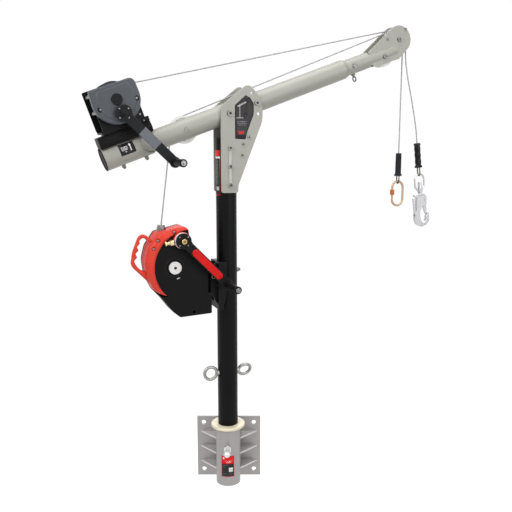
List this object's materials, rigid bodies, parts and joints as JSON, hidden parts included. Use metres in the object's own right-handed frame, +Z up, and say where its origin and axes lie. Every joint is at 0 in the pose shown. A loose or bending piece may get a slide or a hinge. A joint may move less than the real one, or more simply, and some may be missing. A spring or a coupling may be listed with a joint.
{
  "type": "davit crane",
  "caption": "wall-mounted davit crane: swivelling mast in a socket, luffing telescopic boom, hand winch, retractable rope block, carabiner and swivel snap hook",
  "frame": {"origin": "centre of the wall plate's back face, on the wall's surface", "axes": "+Z up along the mast, +Y into the wall, +X along the wall to the right as seen from in front"},
  "size_m": [1.3116, 0.5896, 1.7726],
  "materials": {
    "galvanised": "galvanised and satin",
    "nylon_cream": "cream nylon",
    "bolt_steel": "zinc plated",
    "mast_black": "black satin powder coat",
    "boom_grey": "light grey powder coat",
    "fitting_black": "black satin",
    "case_black": "black moulded plastic",
    "cover_red": "red moulded plastic",
    "steel_bright": "bright steel",
    "grip_black": "black",
    "brass": "brass",
    "end_black": "black ribbed plastic",
    "nylon_white": "white nylon",
    "winch_grey": "slate grey satin",
    "rope_steel": "stranded galvanised wire",
    "sleeve_grey": "dark grey rubber",
    "carabiner_gold": "gold anodised",
    "sleeve_orange": "orange anodised",
    "hook_chrome": "polished plating"
  },
  "bodies": {
    "socket": {"wall_plate": "galvanised", "socket_tube": "galvanised", "gussets": "galvanised", "upper_bush": "nylon_cream", "lower_bush": "nylon_cream"},
    "lock_bolt": {"lock_bolt": "bolt_steel"},
    "mast": {"mast_tube": "mast_black", "mast_plug": "fitting_black", "head_plates": "boom_grey", "head_straps": "bolt_steel", "head_bolts": "bolt_steel", "pivot_bolt": "bolt_steel", "eye_bolts": "bolt_steel", "block_bracket": "fitting_black", "bracket_bolt": "bolt_steel", "block_case": "case_black", "block_cover": "cover_red", "block_handle": "cover_red", "block_outlet": "steel_bright", "block_rope_rise": "rope_steel"},
    "release_pin": {"release_pin": "steel_bright"},
    "block_drum": {"block_drum": "steel_bright"},
    "block_crank": {"block_crank": "fitting_black"},
    "block_crank_grip": {"block_crank_grip": "grip_black"},
    "block_knob": {"block_knob": "brass"},
    "boom": {"boom_tube": "boom_grey", "rear_sleeve": "boom_grey", "rear_cap": "end_black", "boom_collar": "boom_grey", "guide_axle": "bolt_steel", "saddle": "fitting_black", "winch_frame": "fitting_black", "winch_studs": "bolt_steel", "winch_cover": "winch_grey", "winch_rope_span": "rope_steel", "block_rope_span": "rope_steel"},
    "guide_sheave": {"guide_sheave": "nylon_white"},
    "winch_drum": {"winch_drum": "bolt_steel", "wound_rope": "rope_steel", "winch_gear": "bolt_steel"},
    "winch_crank": {"winch_crank": "fitting_black"},
    "winch_crank_grip": {"winch_crank_grip": "grip_black"},
    "inner_boom": {"inner_boom": "boom_grey", "stop_bolts": "bolt_steel", "head_cheeks": "boom_grey", "head_axles": "bolt_steel", "winch_rope_drop": "rope_steel", "block_rope_drop": "rope_steel"},
    "winch_head_sheave": {"winch_head_sheave": "nylon_white"},
    "block_head_sheave": {"block_head_sheave": "nylon_white"},
    "idler": {"idler": "nylon_white"},
    "winch_line_end": {"winch_sleeve": "sleeve_grey"},
    "carabiner": {"carabiner_body": "carabiner_gold"},
    "carabiner_gate": {"carabiner_gate": "carabiner_gold"},
    "carabiner_sleeve": {"carabiner_sleeve": "sleeve_orange"},
    "block_line_end": {"block_grip": "grip_black"},
    "swivel_eye": {"swivel_eye": "hook_chrome"},
    "hook": {"hook_body": "hook_chrome"},
    "hook_gate": {"hook_gate": "hook_chrome"},
    "hook_lock": {"hook_lock": "hook_chrome"}
  },
  "joints": [
    {"name": "lock_bolt_turn", "type": "hinge", "parent": "socket", "child": "lock_bolt", "pos_m": [0, -0.1235, 0.045], "axis": [0, 1, 0], "continuous": true},
    {"name": "mast_swivel", "type": "hinge", "parent": "socket", "child": "mast", "pos_m": [0, -0.076, 0.1], "axis": [0, 0, 1], "continuous": true},
    {"name": "boom_luff", "type": "hinge", "parent": "mast", "child": "boom", "pos_m": [0, -0.076, 1.304], "axis": [0.3665, -0.9304, 0], "range_deg": [-20, 20], "deforming": ["block_rope_rise"]},
    {"name": "boom_extend", "type": "slide", "parent": "boom", "child": "inner_boom", "axis": [0.8743, 0.3444, 0.342], "range_m": [0, 0.25], "deforming": ["winch_rope_span", "block_rope_span"]},
    {"name": "winch_drum_turn", "type": "hinge", "parent": "boom", "child": "winch_drum", "pos_m": [-0.37298, -0.22292, 1.34113], "axis": [0.3665, -0.9304, 0], "continuous": true},
    {"name": "winch_crank_turn", "type": "hinge", "parent": "boom", "child": "winch_crank", "pos_m": [-0.33281, -0.27159, 1.2962], "axis": [0.3665, -0.9304, 0], "continuous": true},
    {"name": "winch_grip_spin", "type": "hinge", "parent": "winch_crank", "child": "winch_crank_grip", "pos_m": [-0.14817, -0.28269, 1.13591], "axis": [-0.3665, 0.9304, 0], "continuous": true},
    {"name": "winch_sheave_turn", "type": "hinge", "parent": "inner_boom", "child": "winch_head_sheave", "pos_m": [0.64925, 0.19103, 1.5946], "axis": [0.3665, -0.9304, 0], "continuous": true},
    {"name": "block_drum_turn", "type": "hinge", "parent": "mast", "child": "block_drum", "pos_m": [-0.19911, -0.15443, 0.766], "axis": [-0.3665, 0.9304, 0], "continuous": true},
    {"name": "guide_sheave_turn", "type": "hinge", "parent": "boom", "child": "guide_sheave", "pos_m": [-0.14601, -0.13351, 1.24688], "axis": [-0.3665, 0.9304, 0], "continuous": true},
    {"name": "block_sheave_turn", "type": "hinge", "parent": "inner_boom", "child": "block_head_sheave", "pos_m": [0.65695, 0.17149, 1.5946], "axis": [-0.3665, 0.9304, 0], "continuous": true},
    {"name": "idler_turn", "type": "hinge", "parent": "inner_boom", "child": "idler", "pos_m": [0.59358, 0.15782, 1.52769], "axis": [-0.3665, 0.9304, 0], "continuous": true},
    {"name": "block_crank_turn", "type": "hinge", "parent": "mast", "child": "block_crank", "pos_m": [-0.15293, -0.20073, 0.863], "axis": [-0.3665, 0.9304, 0], "continuous": true},
    {"name": "block_grip_spin", "type": "hinge", "parent": "block_crank", "child": "block_crank_grip", "pos_m": [0.02568, -0.21205, 0.69696], "axis": [-0.3665, 0.9304, 0], "continuous": true},
    {"name": "block_knob_pull", "type": "slide", "parent": "mast", "child": "block_knob", "axis": [-0.9214, -0.3629, -0.1392], "range_m": [0, 0.006]},
    {"name": "release_pin_pull", "type": "slide", "parent": "mast", "child": "release_pin", "axis": [0.3665, -0.9304, 0], "range_m": [0, 0.038]},
    {"name": "winch_hook_lift", "type": "slide", "parent": "inner_boom", "child": "winch_line_end", "axis": [0, 0, 1], "range_m": [-0.25, 0.08], "deforming": ["winch_rope_drop"]},
    {"name": "carabiner_swing", "type": "hinge", "parent": "winch_line_end", "child": "carabiner", "pos_m": [0.68647, 0.20569, 1.0456], "axis": [0.9304, 0.3665, 0], "range_deg": [-40, 40]},
    {"name": "carabiner_gate_open", "type": "hinge", "parent": "carabiner", "child": "carabiner_gate", "pos_m": [0.66339, 0.1966, 1.0924], "axis": [-0.3665, 0.9304, 0], "range_deg": [0, 25], "stiffness_Nm_per_rad": 0.02, "springref_deg": -17.19},
    {"name": "carabiner_sleeve_screw", "type": "slide", "parent": "carabiner_gate", "child": "carabiner_sleeve", "axis": [0, 0, 1], "range_m": [0, 0.008]},
    {"name": "block_hook_lift", "type": "slide", "parent": "inner_boom", "child": "block_line_end", "axis": [0, 0, 1], "range_m": [-0.25, 0.08], "deforming": ["block_rope_drop"]},
    {"name": "swivel_eye_swing", "type": "hinge", "parent": "block_line_end", "child": "swivel_eye", "pos_m": [0.77426, 0.2177, 1.07459], "axis": [0.9235, 0.3638, 0.1219], "range_deg": [-40, 40]},
    {"name": "hook_swivel", "type": "hinge", "parent": "swivel_eye", "child": "hook", "pos_m": [0.78333, 0.22128, 0.99518], "axis": [-0.1134, -0.0447, 0.9925], "continuous": true},
    {"name": "hook_gate_open", "type": "hinge", "parent": "hook", "child": "hook_gate", "pos_m": [0.80117, 0.2283, 0.97033], "axis": [-0.3665, 0.9304, 0], "range_deg": [0, 20], "stiffness_Nm_per_rad": 0.03, "springref_deg": -17.19},
    {"name": "hook_lock_press", "type": "hinge", "parent": "hook", "child": "hook_lock", "pos_m": [0.76481, 0.21398, 0.91113], "axis": [-0.3665, 0.9304, 0], "range_deg": [0, 6], "stiffness_Nm_per_rad": 0.03, "springref_deg": -5.73}
  ],
  "couplings": [
    {"joint": "winch_crank_turn", "follows": "winch_drum_turn", "ratio": -3.6667},
    {"joint": "winch_sheave_turn", "follows": "winch_drum_turn", "ratio": 1.1},
    {"joint": "guide_sheave_turn", "follows": "block_drum_turn", "ratio": 1.6},
    {"joint": "block_sheave_turn", "follows": "block_drum_turn", "ratio": 1.8}
  ]
}
